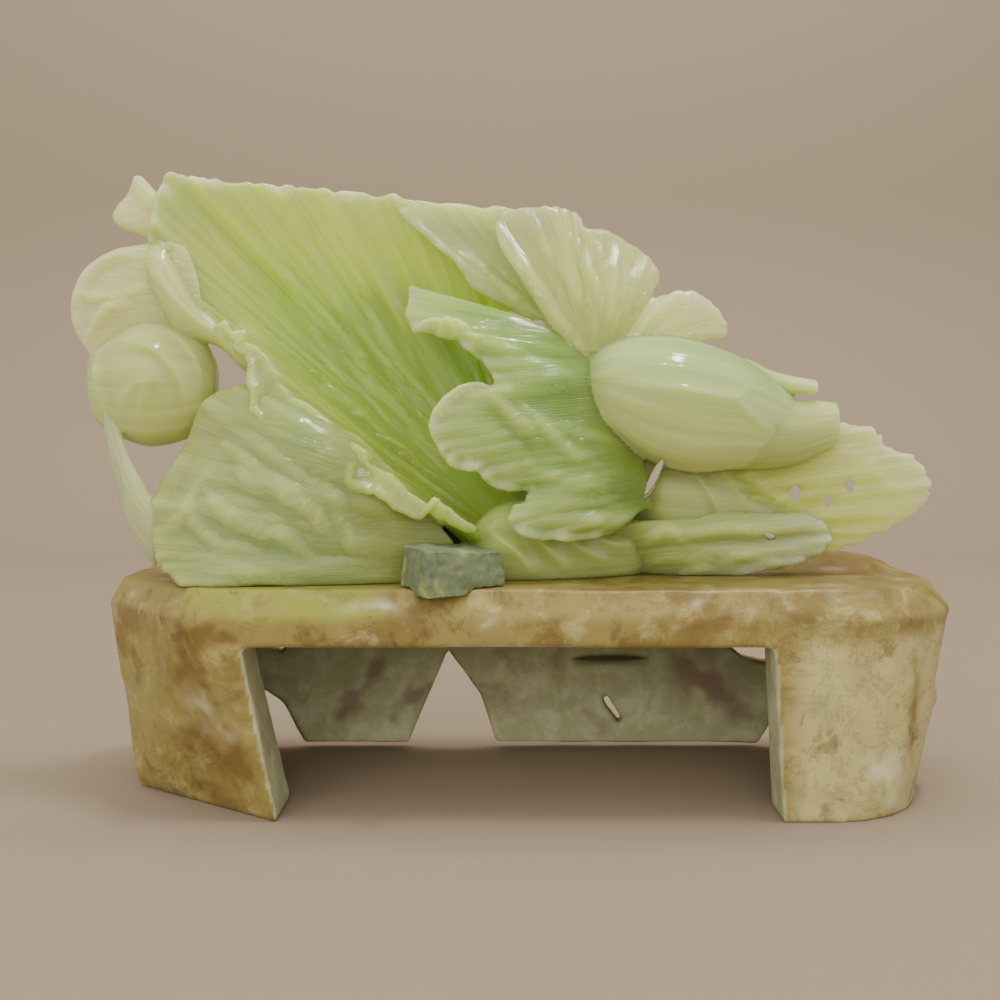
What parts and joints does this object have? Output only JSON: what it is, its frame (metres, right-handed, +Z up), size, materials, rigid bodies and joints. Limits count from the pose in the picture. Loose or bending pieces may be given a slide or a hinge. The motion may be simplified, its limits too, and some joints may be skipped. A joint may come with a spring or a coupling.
{
  "type": "stone cabbage carving on stand",
  "caption": "Cabbage with ruffled, folded leaves carved from one translucent green stone, lying on a hollowed tan stone stand, with a small loose rough block.",
  "frame": {"origin": "middle of the footprint, on the surface that the stand's legs stand on", "axes": "+X along the stand to the right as seen from the front, +Y to the back, +Z up"},
  "size_m": [0.3472, 0.126, 0.2504],
  "materials": {
    "stand_stone": "waxed, mottled tan and ochre with cream and green patches",
    "block_stone": "rough, grey-green with yellow-green streaks",
    "carving_stone": "polished and translucent, light yellow-green with paler rims"
  },
  "bodies": {
    "root": {"stand": "stand_stone", "rough_block": "block_stone", "cabbage_carving": "carving_stone"}
  },
  "joints": []
}
